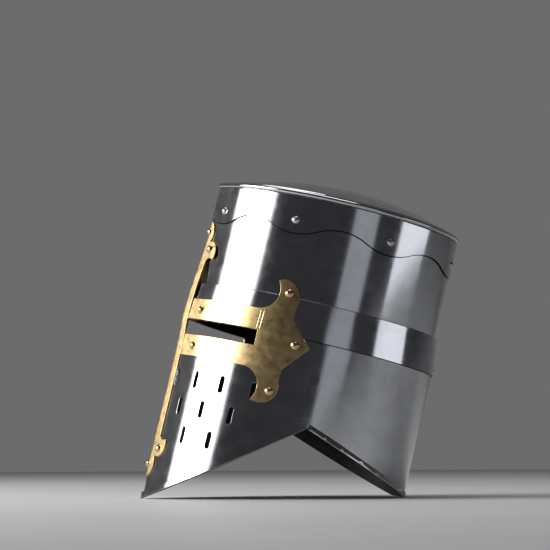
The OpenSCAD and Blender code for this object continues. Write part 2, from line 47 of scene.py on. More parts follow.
# Skull wall in plan
KEEL_ANGLE = math.radians(62)
KEEL_Y = -119.0
BACK_Y, BACK_RADIUS = 41.0, 78.0
HALF_WIDTH = 93.5
KEEL_ROUND = 2.0
SIDE_K = (1 - math.cos(KEEL_ANGLE)) / math.sin(KEEL_ANGLE)
SIDE_Q = BACK_Y - KEEL_Y - HALF_WIDTH / math.tan(KEEL_ANGLE)
SIDE_P = HALF_WIDTH + SIDE_Q * SIDE_K - BACK_RADIUS
SIDE_SQUARE = HALF_WIDTH ** 2 + SIDE_Q ** 2 - BACK_RADIUS ** 2
SIDE_RADIUS = (SIDE_P - math.sqrt(SIDE_P ** 2 - SIDE_K ** 2 * SIDE_SQUARE)) / SIDE_K ** 2
SIDE_X = HALF_WIDTH - SIDE_RADIUS
SIDE_Y = BACK_Y - SIDE_Q + SIDE_K * SIDE_RADIUS
SIDE_TO = math.atan2(BACK_Y - SIDE_Y, -SIDE_X)
FLAT = (SIDE_X + SIDE_RADIUS * math.cos(KEEL_ANGLE)) / math.sin(KEEL_ANGLE)
SIDE_END = FLAT + SIDE_RADIUS * (SIDE_TO + KEEL_ANGLE)
BACK = SIDE_END + BACK_RADIUS * (math.pi / 2 - SIDE_TO)

# Heights and layers
STEEL, BRASS, LEATHER = 1.3, 1.2, 2.0
RIM = 4.5
BAND_TOP, BAND_LOW = -100.5, -137.5
EYE_Z, SLOT_HALF, SLOT_END = -145.0, 7.5, 103.0
CHIN_DEPTH, NOTCH_Z, NOTCH_Y, SEAM_Y = 317.7, -218.0, 7.5, 11.0
NAPE_DEPTH, REST_CUT = 259.5, 3.0
PLATE, HEM = 5.2, 6.5
BAND_SLOPE = (HEM - 2 * STEEL) / (BAND_TOP - BAND_LOW)
CHIN_Y = KEEL_Y - HEM / math.sin(KEEL_ANGLE)
NAPE_Y = 119.0 + HEM
LEAN = math.atan2(CHIN_DEPTH - NAPE_DEPTH + REST_CUT, NAPE_Y - CHIN_Y)
LIFT = CHIN_Y * math.sin(LEAN) + CHIN_DEPTH * math.cos(LEAN)
FRONT_END = CHIN_Y * math.cos(LEAN) - CHIN_DEPTH * math.sin(LEAN)
BACK_END = (119.0 + 2.8) * math.cos(LEAN) - RIM / 2 * math.sin(LEAN)
SHIFT = -(FRONT_END + BACK_END) / 2
SCALLOPS = 7
SCALLOP_PITCH = 2 * BACK / SCALLOPS
SCALLOP_START, SCALLOP_Z, SCALLOP_RISE = 19.0, -35.7, 5.5
CROWN_RIVET_Z = -28.0
SEAT_GAP = 0.45

# Liner
HEAD_RADIUS, HEAD_SHIFT = 80.0, 20.0
LINER_BACK = 6.0
LINER_TOP, LINER_LOW = -72.0, -108.0
TONGUE_TOP, TONGUE_HOLE, TONGUES = -30.0, 16.0, 8


def place(p):
    """Upright millimetres to the leaning helmet in metres."""
    p = np.asarray(p, float)
    c, s = math.cos(LEAN), math.sin(LEAN)
    y, z = p[..., 1], p[..., 2]
    return np.stack([p[..., 0], y * c + z * s + SHIFT, -y * s + z * c + LIFT], -1) / 1000


def turned(v):
    """A direction in the upright frame, as the leaning helmet has it."""
    return place(v) * 1000 - [0, SHIFT, LIFT]


def wall(s):
    """Plan of the skull wall at a length s from the keel: x, y and the angle of its normal."""
    s = (np.asarray(s, float) + BACK) % (2 * BACK) - BACK
    side, a = np.where(s < 0, -1.0, 1.0), np.abs(s)
    fold = KEEL_ROUND / math.tan(KEEL_ANGLE)
    t0 = -math.pi / 2 + np.minimum(a / fold, 1) * (math.pi / 2 - KEEL_ANGLE)
    x0, y0 = KEEL_ROUND * np.cos(t0), KEEL_Y + KEEL_ROUND / math.sin(KEEL_ANGLE) + KEEL_ROUND * np.sin(t0)
    x1, y1 = a * math.sin(KEEL_ANGLE), KEEL_Y + a * math.cos(KEEL_ANGLE)
    t2 = -KEEL_ANGLE + (a - FLAT) / SIDE_RADIUS
    x2, y2 = SIDE_X + SIDE_RADIUS * np.cos(t2), SIDE_Y + SIDE_RADIUS * np.sin(t2)
    t3 = SIDE_TO + (a - SIDE_END) / BACK_RADIUS
    x3, y3 = BACK_RADIUS * np.cos(t3), BACK_Y + BACK_RADIUS * np.sin(t3)
    where = [a < fold, a < FLAT, a < SIDE_END]
    x = np.select(where, [x0, x1, x2], x3)
    y = np.select(where, [y0, y1, y2], y3)
    t = np.select(where, [t0, np.full_like(a, -KEEL_ANGLE), t2], t3)
    return side * x, y, np.where(side < 0, math.pi - t, t)


def oval(s):
    """Plan of the liner's headband at a length s from its front, like wall()."""
    half = math.pi * HEAD_RADIUS + 2 * HEAD_SHIFT
    s = (np.asarray(s, float) + half) % (2 * half) - half
    side, a = np.where(s < 0, -1.0, 1.0), np.abs(s)
    quarter = math.pi / 2 * HEAD_RADIUS
    later = np.maximum(math.pi / 2, (a - 2 * HEAD_SHIFT) / HEAD_RADIUS)
    t = np.where(a < quarter, a / HEAD_RADIUS, later) - math.pi / 2
    along = np.clip(a - quarter, 0, 2 * HEAD_SHIFT) - HEAD_SHIFT
    x, y = HEAD_RADIUS * np.cos(t), HEAD_RADIUS * np.sin(t) + along + LINER_BACK
    return side * x, y, np.where(side < 0, math.pi - t, t)


def point(s, z, d, plan=wall):
    x, y, t = plan(s)
    return np.stack([x + d * np.cos(t), y + d * np.sin(t), z + 0 * x], -1)


def y_at(s, d):
    x, y, t = wall(s)
    return y + d * np.sin(t)


def s_at_y(y, d):
    """Length along the left side of the wall where the layer d reaches y."""
    s = np.linspace(0, BACK, 4000)
    return float(np.interp(y, y_at(s, d), s))


def ramp(x, start, end):
    return np.clip((x - start) / (end - start), 0, 1)


def directions(s, z, depth, plan=wall):
    """Unit tangents along s and z, and the outward normal, of the layer depth(s, z)."""
    e = 0.04
    a = point(s + e, z, depth(s + e, z), plan) - point(s - e, z, depth(s - e, z), plan)
    b = point(s, z + e, depth(s, z + e), plan) - point(s, z - e, depth(s, z - e), plan)
    a /= np.linalg.norm(a, axis=-1, keepdims=True)
    b /= np.linalg.norm(b, axis=-1, keepdims=True)
    n = np.cross(a, b)
    return a, b, n / np.linalg.norm(n, axis=-1, keepdims=True)


def make(name, verts, faces, material, stands_for=(), normals=None, uv=None, smooth=40):
    """Mesh object from upright millimetres, riding on the helmet and standing for CAD nodes."""
    mesh = bpy.data.meshes.new(name)
    mesh.from_pydata(place(verts).tolist(), [], faces)
    mesh.validate()
    mesh.shade_smooth()
    if uv is not None:
        layer = mesh.uv_layers.new(name="wall")
        index = np.empty(len(mesh.loops), dtype=np.int64)
        mesh.loops.foreach_get("vertex_index", index)
        layer.data.foreach_set("uv", (np.asarray(uv)[index] / 100).astype(np.float32).ravel())
    if normals is not None:
        mesh.normals_split_custom_set_from_vertices(turned(normals).tolist())
    else:
        mesh.set_sharp_from_angle(angle=math.radians(smooth))
    obj = bpy.data.objects.new(name, mesh)
    bpy.context.scene.collection.objects.link(obj)
    mesh.materials.append(material)
    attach(obj, "root")
    if stands_for:
        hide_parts(*stands_for)
    return obj


def resample(points, step, closed=True):
    """Polyline with its corners kept and long stretches divided."""
    out = []
    count = len(points) if closed else len(points) - 1
    for i in range(count):
        a, b = np.array(points[i]), np.array(points[(i + 1) % len(points)])
        parts = max(1, int(math.ceil(np.linalg.norm(b - a) / step)))
        out += [a + (b - a) * k / parts for k in range(parts)]
    if not closed:
        out.append(np.array(points[-1]))
    return np.array(out)


def arc(cx, cy, r, a0, a1, count=14):
    """Points along a circle from angle a0 to a1, in degrees."""
    t = np.radians(np.linspace(a0, a1, count))
    return [(cx + r * math.cos(k), cy + r * math.sin(k)) for k in t]


def inside(points, loops):
    """Even-odd test of points against closed loops."""
    result = np.zeros(len(points), bool)
    x, y = points[:, 0], points[:, 1]
    for loop in loops:
        for (x0, y0), (x1, y1) in zip(loop, np.roll(loop, -1, 0)):
            if y0 != y1:
                hit = (y0 > y) != (y1 > y)
                result ^= hit & (x < (x1 - x0) * (y - y0) / (y1 - y0) + x0)
    return result


def away(points, loops, gap):
    """Points that stay at least gap from every loop vertex."""
    keep = np.ones(len(points), bool)
    for vertex in np.vstack(loops):
        keep &= np.abs(points - vertex).max(1) > gap
    return keep


def backed(piece, shade_backing, parts):
    """Gives a sheet its three materials: 0 the outer face, 1 the inner face, 2 the cut edge; the steel
    backing paints shade on the inner face and a shadow line on the cut edge.
    """
    for material in shade_backing:
        piece.data.materials.append(material)
    piece.data.polygons.foreach_set("material_index", parts)
    piece.data.update()
    return piece


def cut_sheet(name, loops, outer, inner, material, nodes, step=(4, 7), bevel=0.3, plan=wall,
              extra=(), edge=2.2, shade_backing=()):
    """Sheet cut to outlines in (s, z), first the outside counterclockwise, then holes clockwise."""
    rims, insets, outs = [], [], []
    for loop in loops:
        rim = resample(loop, edge)
        rim = rim[np.linalg.norm(rim - np.roll(rim, 1, 0), axis=1) > 1e-6]
        ahead, behind = np.roll(rim, -1, 0) - rim, rim - np.roll(rim, 1, 0)
        left = np.array([[0, 1], [-1, 0]])
        na = ahead @ left / np.linalg.norm(ahead, axis=1, keepdims=True)
        nb = behind @ left / np.linalg.norm(behind, axis=1, keepdims=True)
        mean = na + nb
        mean /= np.maximum(np.linalg.norm(mean, axis=1, keepdims=True), 1e-6)
        reach = bevel / np.maximum((mean * na).sum(1, keepdims=True), 0.45)
        rims.append(rim)
        insets.append(rim + mean * reach)
        outs.append(-mean)
    low, high = rims[0].min(0), rims[0].max(0)
    rows = np.arange(low[1] + 0.4, high[1], step[1])
    grid = np.array([(s + (k % 2) * step[0] / 2, z) for k, z in enumerate(rows)
                     for s in np.arange(low[0] + 0.3, high[0], step[0])])
    if len(extra):
        near = ((grid[:, None, :] - np.asarray(extra)[None]) ** 2).sum(-1).min(1) < 1.5 ** 2
        grid = np.vstack([grid[~near], extra])
    grid = grid[inside(grid, insets)]
    grid = grid[away(grid, insets, 0.9)]
    points = np.vstack(insets + [grid])
    edges, start = [], 0
    for inset in insets:
        count = len(inset)
        edges += [(start + i, start + (i + 1) % count) for i in range(count)]
        start += count
    found = delaunay_2d_cdt([Vector(p) for p in points], edges, [], 0, 1e-5, True)
    origin = found[3]
    at = np.array([ids[0] for ids in origin])
    triangles = np.array([[at[i] for i in f] for f in found[2]])
    middle = points[triangles].mean(1)
    a, b, c = (points[triangles[:, k]] for k in range(3))
    area = (b[:, 0] - a[:, 0]) * (c[:, 1] - a[:, 1]) - (b[:, 1] - a[:, 1]) * (c[:, 0] - a[:, 0])
    keep = inside(middle, insets) & (np.abs(area) > 1e-7)
    triangles = np.where(area[:, None] < 0, triangles[:, ::-1], triangles)[keep]

    s, z = points[:, 0], points[:, 1]
    top, under = outer(s, z), inner(s, z)
    verts = [point(s, z, top, plan), point(s, z, under, plan)]
    normals = [directions(s, z, outer, plan)[2], -directions(s, z, inner, plan)[2]]
    uvs = [points, points]
    count = len(points)
    faces = triangles.tolist() + (triangles[:, ::-1] + count).tolist()
    parts = [0] * len(triangles) + [1] * len(triangles)
    base, start = 2 * count, 0
    for rim, out in zip(rims, outs):
        n = len(rim)
        s, z = rim[:, 0], rim[:, 1]
        top, under = outer(s, z), inner(s, z)
        along, up, face = directions(s, z, outer, plan)
        side = along * out[:, :1] + up * out[:, 1:]
        verts += [point(s, z, top - bevel * 0.8, plan), point(s, z, under + bevel * 0.8, plan)]
        normals += [side, side]
        uvs += [rim, rim]
        for i in range(n):
            j = (i + 1) % n
            a, b, c, d = start + i, base + i, base + n + i, start + count + i
            a2, b2, c2, d2 = start + j, base + j, base + n + j, start + count + j
            faces += [[a, b, b2, a2], [b, c, c2, b2], [c, d, d2, c2]]
            # The side of the cut edge takes material 2, the painted shadow line
            parts += [0, 2, 1]
        base += 2 * n
        start += n
    piece = make(name, np.vstack(verts), faces, material, nodes, np.vstack(normals), np.vstack(uvs))
    return backed(piece, shade_backing, parts) if shade_backing else piece


def ring_columns(step, plan_length, fold=True):
    """Lengths round a closed plan, closer together where the keel is folded."""
    s = np.linspace(-plan_length, plan_length, int(2 * plan_length / step), endpoint=False)
    if fold:
        width = KEEL_ROUND / math.tan(KEEL_ANGLE)
        s = s[np.abs(s) > 2.2]
        s = np.concatenate([s, [-2, 2], np.linspace(-width, width, 9)])
    return np.sort(s)


def ring_sheet(name, top, low, outer, inner, material, nodes, bevel=0.3, plan=wall, length=None,
               step=2.4, rows=8, shade_backing=(), shadow_on_lower_bevel=False):
    """Sheet that closes on itself, between the heights low(s) and top(s)."""
    s = ring_columns(step, length or BACK, plan is wall)
    n = len(s)
    z_top, z_low = top(s) + 0 * s, low(s) + 0 * s
    heights = [z_top - bevel - (z_top - z_low - 2 * bevel) * k for k in np.linspace(0, 1, rows)]
    rings, normals = [], []
    zero = np.zeros_like(s)

    def add(z, d, normal):
        rings.append(point(s, z, d, plan))
        normals.append(normal)

    up = np.stack([zero, zero, zero + 1], -1)
    add(z_top, outer(s, z_top) - bevel * 0.8, up)
    for z in heights:
        add(z, outer(s, z), directions(s, z, outer, plan)[2])
    add(z_low, outer(s, z_low) - bevel * 0.8, -up)
    add(z_low, inner(s, z_low) + bevel * 0.8, -up)
    for z in heights[::-1]:
        add(z, inner(s, z), -directions(s, z, inner, plan)[2])
    add(z_top, inner(s, z_top) + bevel * 0.8, up)
    count = len(rings)
    faces = []
    for r in range(count):
        q = (r + 1) % count
        for i in range(n):
            j = (i + 1) % n
            faces.append([r * n + i, q * n + i, q * n + j, r * n + j])
    order = [z_top] + heights + [z_low, z_low] + heights[::-1] + [z_top]
    uv = np.vstack([np.stack([s, z], -1) for z in order])
    piece = make(name, np.vstack(rings), faces, material, nodes, np.vstack(normals), uv)
    # On request the outer lower bevel takes material 2 as well: a painted shadow line along the lower edge
    lower = 2 if shadow_on_lower_bevel else 0
    parts = [0] * rows + [lower, 2] + [1] * (rows + 1) + [2]
    return backed(piece, shade_backing, [part for part in parts for k in range(n)]) if shade_backing else piece


def revolved(name, spots, profile, material, nodes, sides=20, wobble=0.03, plan=wall):
    """Pieces turned about the wall's normal, each spot as (s, z, height of the profile's zero)."""
    verts, faces = [], []
    for s, z, d in spots:
        x, y, t = (float(v) for v in plan(s))
        out = np.array([math.cos(t), math.sin(t), 0])
        side = np.array([-math.sin(t), math.cos(t), 0])
        up = np.array([0, 0, 1.0])
        tilt = random.uniform(-wobble, wobble, 2)
        centre = np.array([x, y, z]) + out * d
        base = len(verts)
        squash = 1 + random.uniform(-wobble, wobble)
        for r, h in profile:
            for k in range(sides):
                a = 2 * math.pi * k / sides
                u, v = r * math.cos(a) * squash, r * math.sin(a) / squash
                lean = max(h, 0) * 0.4
                verts.append(centre + side * (u + tilt[0] * lean) + up * (v + tilt[1] * lean) + out * h)
        for r in range(len(profile) - 1):
            for k in range(sides):
                j = (k + 1) % sides
                faces.append([base + r * sides + k, base + r * sides + j,
                              base + (r + 1) * sides + j, base + (r + 1) * sides + k])
        faces.append([base + k for k in range(sides)][::-1])
        faces.append([base + (len(profile) - 1) * sides + k for k in range(sides)])
    return make(name, np.array(verts), faces, material, nodes, smooth=50)


def rivet_profile(head, grip, tail=2.6, shank=1.6):
    """Profile of a round-headed rivet from its hammered tail to the top of its head."""
    dome = head * 0.62
    ball = (head * head + dome * dome) / (2 * dome)
    reach = math.asin(head / ball)
    cap = [(ball * math.sin(a), dome - ball + ball * math.cos(a)) for a in np.linspace(reach, 0.06, 9)]
    foot = [(0.3, -grip - 0.9), (tail * 0.75, -grip - 0.75), (tail, -grip - 0.3)]
    foot += [(tail, -grip), (shank, -grip)]
    return foot + [(shank, 0), (head * 0.97, 0)] + cap


def tube(path, radius, sides=12, closed=False, lobes=0.0, turns=0):
    """Round or two-stranded cord along a path of points."""
    path = np.asarray(path, float)
    count = len(path)
    ahead = np.roll(path, -1, 0) - np.roll(path, 1, 0)
    if not closed:
        ahead[0], ahead[-1] = path[1] - path[0], path[-1] - path[-2]
    ahead /= np.linalg.norm(ahead, axis=1, keepdims=True)
    normal = np.cross(ahead[0], [0.3, 0.2, 1.0])
    verts, faces = [], []
    for i in range(count):
        normal = normal - ahead[i] * np.dot(normal, ahead[i])
        normal /= np.linalg.norm(normal)
        other = np.cross(ahead[i], normal)
        for k in range(sides):
            a = 2 * math.pi * k / sides
            twist = 2 * math.pi * turns * i / count
            r = radius * (1 - lobes + lobes * abs(math.cos(a - twist)))
            verts.append(path[i] + r * (math.cos(a) * normal + math.sin(a) * other))
    for i in range(count if closed else count - 1):
        j = (i + 1) % count
        for k in range(sides):
            m = (k + 1) % sides
            faces.append([i * sides + k, i * sides + m, j * sides + m, j * sides + k])
    if not closed:
        faces.append(list(range(sides))[::-1])
        faces.append([(count - 1) * sides + k for k in range(sides)])
    return np.array(verts), faces


def joined(parts):
    """One list of vertices and one of faces from several pieces' lists."""
    verts, faces, base = [], [], 0
    for v, f in parts:
        verts.append(v)
        faces += [[base + i for i in face] for face in f]
        base += len(v)
    return np.vstack(verts), faces


def ribbon(path, normals, widths, thick, cross=7):
    """Flat strap along a path: its faces stand along the normals, its edges are rounded."""
    path, normals = np.asarray(path, float), np.asarray(normals, float)
    ahead = np.gradient(path, axis=0)
    ahead /= np.linalg.norm(ahead, axis=1, keepdims=True)
    normals = normals - ahead * (normals * ahead).sum(1, keepdims=True)
    normals /= np.linalg.norm(normals, axis=1, keepdims=True)
    across = np.cross(ahead, normals)
    profile = []
    u = np.linspace(-1, 1, cross)
    for k in u:
        profile.append((k, 1.0))
    for k in u[::-1]:
        profile.append((k, -1.0))
    verts, faces = [], []
    n = len(profile)
    for i in range(len(path)):
        half = widths[i] / 2
        for k, side in profile:
            edge = max(0.0, (abs(k) * half - (half - 0.8)) / 0.8)
            h = thick / 2 * side * (1 - 0.35 * edge ** 2)
            verts.append(path[i] + across[i] * k * half + normals[i] * h)
    for i in range(len(path) - 1):
        for k in range(n):
            j = (k + 1) % n
            faces.append([i * n + k, i * n + j, (i + 1) * n + j, (i + 1) * n + k])
    faces.append(list(range(n))[::-1])
    faces.append([(len(path) - 1) * n + k for k in range(n)])
    return np.array(verts), faces


def stitch_row(spots, ahead, out, length=2.6, radius=0.38):
    """Thread stitches as short rounded bars lying on leather."""
    parts = []
    for p, a, o in zip(spots, ahead, out):
        t = np.linspace(-1, 1, 5)
        path = [p + a * k * length / 2 + o * (0.3 - 0.5 * k * k) for k in t]
        parts.append(tube(path, radius, 6))
    return joined(parts)


# Materials
class Nodes:
    """Short way to add and join shader nodes."""

    def __init__(self, name):
        self.material = bpy.data.materials.new(name)
        self.material.use_nodes = True
        self.tree = self.material.node_tree
        self.shader = self.tree.nodes["Principled BSDF"]

    def add(self, kind, **values):
        node = self.tree.nodes.new(kind)
        for key, value in values.items():
            if key in node.inputs:
                node.inputs[key].default_value = value
            else:
                setattr(node, key, value)
        return node

    def join(self, a, b):
        self.tree.links.new(a, b)

    def noise(self, vector, scale, detail=4.0, rough=0.55, stretch=(1, 1, 1), turn=0.0):
        mapping = self.add("ShaderNodeMapping")
        mapping.inputs["Scale"].default_value = stretch
        mapping.inputs["Rotation"].default_value = (0, 0, turn)
        noise = self.add("ShaderNodeTexNoise", Scale=scale, Detail=detail, Roughness=rough)
        self.join(vector, mapping.inputs["Vector"])
        self.join(mapping.outputs["Vector"], noise.inputs["Vector"])
        return noise.outputs["Fac"]

    def ramp(self, fac, stops):
        ramp = self.add("ShaderNodeValToRGB")
        elements = ramp.color_ramp.elements
        while len(elements) < len(stops):
            elements.new(0.5)
        for element, (at, colour) in zip(elements, stops):
            element.position = at
            element.color = (*colour, 1) if len(colour) == 3 else (colour[0],) * 3 + (1,)
        self.join(fac, ramp.inputs["Fac"])
        return ramp.outputs["Color"]

    def span(self, fac, low, high):
        node = self.add("ShaderNodeMapRange")
        node.inputs["From Min"].default_value = 0.3
        node.inputs["From Max"].default_value = 0.7
        node.inputs["To Min"].default_value = low
        node.inputs["To Max"].default_value = high
        self.join(fac, node.inputs["Value"])
        return node.outputs["Result"]

    def bump(self, height, strength, distance, below=None):
        node = self.add("ShaderNodeBump", Strength=strength, Distance=distance)
        self.join(height, node.inputs["Height"])
        if below is not None:
            self.join(below, node.inputs["Normal"])
        return node.outputs["Normal"]


def metal(name, dark, light, rough, scratch, grain=(1.0, 30.0), spots=0.0, blotch=6.0):
    """Polished sheet: fine polishing lines, smudges and a few longer scratches."""
    m = Nodes(name)
    uv = m.add("ShaderNodeTexCoord").outputs["UV"]
    blotches = m.noise(uv, blotch, 5, 0.6)
    fine = m.noise(uv, 9, 6, 0.7, (grain[0], grain[1], 1))
    cross = m.noise(uv, 11, 5, 0.7, (16, 0.8, 1), 0.5)
    colour = m.ramp(blotches, [(0.3, dark), (0.7, light)])
    if spots:
        speck = m.ramp(m.noise(uv, 55, 5, 0.75), [(0.58, (0, 0, 0)), (0.7, (1, 1, 1))])
        mask = m.ramp(m.noise(uv, 5, 3, 0.5), [(0.5, (0, 0, 0)), (0.64, (1, 1, 1))])
        both = m.add("ShaderNodeMix", data_type="RGBA", blend_type="MULTIPLY")
        both.inputs["Factor"].default_value = 1.0
        m.join(speck, both.inputs["A"])
        m.join(mask, both.inputs["B"])
        stain = m.add("ShaderNodeMix", data_type="RGBA")
        amount = m.add("ShaderNodeMath", operation="MULTIPLY")
        amount.inputs[1].default_value = spots
        m.join(both.outputs["Result"], amount.inputs[0])
        m.join(amount.outputs[0], stain.inputs["Factor"])
        m.join(colour, stain.inputs["A"])
        stain.inputs["B"].default_value = (dark[0] * 0.45, dark[1] * 0.42, dark[2] * 0.4, 1)
        colour = stain.outputs["Result"]
    m.join(colour, m.shader.inputs["Base Color"])
    m.shader.inputs["Metallic"].default_value = 1.0
    haze = m.add("ShaderNodeMath", operation="ADD")
    m.join(m.span(blotches, rough[0], rough[1]), haze.inputs[0])
    m.join(m.span(fine, -0.03, 0.04), haze.inputs[1])
    m.join(haze.outputs[0], m.shader.inputs["Roughness"])
    lines = m.bump(fine, scratch, 0.00004)
    m.join(m.bump(cross, scratch * 0.6, 0.00003, lines), m.shader.inputs["Normal"])
    return m.material


def hide(name, dark, light, rough=0.62, pore=90.0, depth=0.5):
    """Leather: pebbled grain and colour that wanders."""
    m = Nodes(name)
    where = m.add("ShaderNodeTexCoord").outputs["Object"]
    cells = m.add("ShaderNodeTexVoronoi", Scale=pore * 12)
    m.join(where, cells.inputs["Vector"])
    cloud = m.noise(where, 28, 5, 0.6)
    fine = m.noise(where, 420, 4, 0.7)
    m.join(m.ramp(cloud, [(0.3, dark), (0.72, light)]), m.shader.inputs["Base Color"])
    m.join(m.span(fine, rough - 0.1, rough + 0.12), m.shader.inputs["Roughness"])
    grain = m.bump(cells.outputs["Distance"], depth, 0.0003)
    m.join(m.bump(fine, 0.35, 0.0003, grain), m.shader.inputs["Normal"])
    return m.material


steel_plate = metal("steel_plate", (0.5, 0.51, 0.53), (0.6, 0.61, 0.63), (0.07, 0.13), 0.22, spots=0.3)
# Inner face of the sheets: near-black painted shade for the dark inside of the helmet; its higher roughness
# is a real finish
steel_inner_painted_shade = metal("steel_inner_painted_shade", (0.05, 0.05, 0.052), (0.1, 0.1, 0.105), (0.4, 0.5), 0.4)
# Cut edges and some lower bevels: near-black painted shadow, the dark line under the edges of the plates
steel_painted_shadow_edge = metal("steel_painted_shadow_edge", (0.008, 0.008, 0.01), (0.018, 0.018, 0.02), (0.4, 0.5), 0.3)
steel_rivet = metal("steel_rivet", (0.42, 0.41, 0.4), (0.6, 0.6, 0.6), (0.2, 0.32), 0.4, (6, 6))
steel_edge = metal("steel_edge", (0.3, 0.3, 0.31), (0.45, 0.45, 0.46), (0.28, 0.4), 0.5)
# Painted shade for a steel sheet's inner face and a painted shadow line for its cut edge: both are dark
# colours put where shade falls
SHEET_PAINTED_SHADE = (steel_inner_painted_shade, steel_painted_shadow_edge)
brass_plate = metal("brass_plate", (0.6, 0.43, 0.2), (0.7, 0.52, 0.26), (0.26, 0.36), 0.25,
                    (3.0, 14.0), 0.3, 14.0)
brass_rivet = metal("brass_rivet", (0.5, 0.35, 0.18), (0.68, 0.5, 0.28), (0.16, 0.24), 0.3, (6, 6))
leather = hide("leather", (0.14, 0.06, 0.025), (0.3, 0.15, 0.07))
pad_leather = hide("pad_leather", (0.1, 0.045, 0.02), (0.2, 0.1, 0.05), 0.7, 60.0, 0.7)
lace_leather = hide("lace_leather", (0.05, 0.025, 0.012), (0.11, 0.06, 0.03), 0.55)
thread = hide("thread", (0.5, 0.42, 0.28), (0.66, 0.57, 0.4), 0.8, 120.0, 0.3)


# Steel plates
def flat_layer(d):
    """Layer at a constant distance outside the wall."""
    return lambda s, z: d + 0 * (s + z)


def level(height):
    """Edge at one height all round."""
    return lambda s: height + 0 * s


def scallop(s):
    """Lower edge of the crown strip: circle arcs, alternately hollow and round."""
    quarter = SCALLOP_PITCH / 4
    r = (quarter ** 2 + SCALLOP_RISE ** 2) / (2 * SCALLOP_RISE)
    t = (np.asarray(s) - SCALLOP_START) % SCALLOP_PITCH
    t = np.where(t > 2 * quarter, t - 4 * quarter, t)
    low = np.abs(t) <= quarter
    u = np.where(low, t, np.abs(t) - 2 * quarter)
    bulge = np.sqrt(np.maximum(r * r - u * u, 0)) - (r - SCALLOP_RISE)
    return SCALLOP_Z + np.where(low, -bulge, bulge)


ring_sheet("skull_wall", level(-RIM), level(BAND_LOW), flat_layer(0), flat_layer(-STEEL),
           steel_plate, ["upper_shell"], shade_backing=SHEET_PAINTED_SHADE)
# The scalloped strip and the brow band carry a painted shadow line on their lower bevels
ring_sheet("scalloped_strip", level(-RIM), scallop, flat_layer(STEEL), flat_layer(0.02),
           steel_plate, ["crown_skirt"], bevel=0.9, step=1.6, rows=6, shade_backing=SHEET_PAINTED_SHADE, shadow_on_lower_bevel=True)
ring_sheet("brow_band_plate", level(BAND_TOP), level(BAND_LOW),
           lambda s, z: HEM - BAND_SLOPE * (z - BAND_LOW),
           lambda s, z: HEM - STEEL - BAND_SLOPE * (z - BAND_LOW),
           steel_plate, ["brow_band"], bevel=0.7, shade_backing=SHEET_PAINTED_SHADE, shadow_on_lower_bevel=True)


def crown_plate():
    """Domed plate with its rim rolled into a bead over the top of the wall."""
    s = ring_columns(2.4, BACK)
    n = len(s)
    edge = point(s, 0 * s, 1.6 + 0 * s)[:, :2] - [0, 6]
    turn = np.arctan2(edge[:, 1], edge[:, 0])
    far = np.linalg.norm(edge, axis=1)
    round_plan = 1 / np.sqrt((np.cos(turn) / 95) ** 2 + (np.sin(turn) / 119) ** 2)
    rings, uv = [], []

    def dome(k, drop):
        mix = ramp(k, 0.35, 0.97) ** 2 * (3 - 2 * ramp(k, 0.35, 0.97))
        r = k * (far * mix + round_plan * (1 - mix))
        z = 21 * (1 - k * k) - drop + 0 * r
        rings.append(np.stack([r * np.cos(turn), 6 + r * np.sin(turn), z], -1))
        uv.append(rings[-1][:, :2])

    def bead(d, z):
        rings.append(point(s, z + 0 * s, d + 0 * s))
        uv.append(np.stack([s, z + 0 * s], -1))

    sizes = [0.03, 0.08, 0.15, 0.24, 0.34, 0.44, 0.54, 0.63, 0.71, 0.78, 0.84, 0.89, 0.93, 0.955, 0.968]
    for k in sizes:
        dome(k, 0.15)
    bead(-1.35, 0.15)
    bead(-1.05, -0.15)
    for a in np.radians(np.linspace(128, -90, 15)):
        bead(0.55 + 2.25 * math.cos(a), -2.25 + 2.25 * math.sin(a) * 0.999)
    bead(-1.2, -4.5)
    bead(-1.75, -4.1)
    bead(-1.9, -1.2)
    for k in sizes[::-1]:
        dome(k * 0.985, STEEL + 0.3)
    faces = []
    for r in range(len(rings) - 1):
        for i in range(n):
            j = (i + 1) % n
            faces.append([r * n + i, (r + 1) * n + i, (r + 1) * n + j, r * n + j])
    faces.append(list(range(n)))
    faces.append([(len(rings) - 1) * n + i for i in range(n)][::-1])
    make("crown_plate", np.vstack(rings), faces, steel_plate, ["top_plate"], uv=np.vstack(uv), smooth=60)


crown_plate()


# Face plate and neck plate
def face_low(y):
    """Height of the face plate's lower edge."""
    return NOTCH_Z - (CHIN_DEPTH + NOTCH_Z) / (NOTCH_Y - CHIN_Y) * (NOTCH_Y - y)


def neck_low(y):
    """Height of the neck plate's lower edge, with the flat it rests on."""
    edge = NOTCH_Z - (NAPE_DEPTH + NOTCH_Z) / (NAPE_Y - NOTCH_Y) * (y - NOTCH_Y)
    return np.maximum(edge, -CHIN_DEPTH + (y - CHIN_Y) * math.tan(LEAN))


LAP_Y = SEAM_Y - 12
HEM_HEIGHT = 5.0
# Upper edge of both plates, hidden behind the brow band
FLANGE_TOP = -118.0
# Breath slots: the first one's place, and the distances between slots and between rows
BREATH_START, BREATH_TOP, BREATH_PITCH, BREATH_ROW = 12.2, -195, 33.2, 27


def face_margin(s):
    """How far the face plate has stepped out over the neck plate, from 0 to 1."""
    return ramp(y_at(s, PLATE), LAP_Y - 2.5, LAP_Y)


def face_outer(s, z):
    hem = ramp(face_low(y_at(s, PLATE)) + HEM_HEIGHT - z, -0.5, 0.4)
    base = PLATE + STEEL * np.maximum(face_margin(s), hem)
    return base - (PLATE - STEEL) * ramp(z, BAND_LOW, BAND_TOP)


def face_inner(s, z):
    return PLATE - STEEL + STEEL * face_margin(s) - (PLATE - STEEL) * ramp(z, BAND_LOW, BAND_TOP)


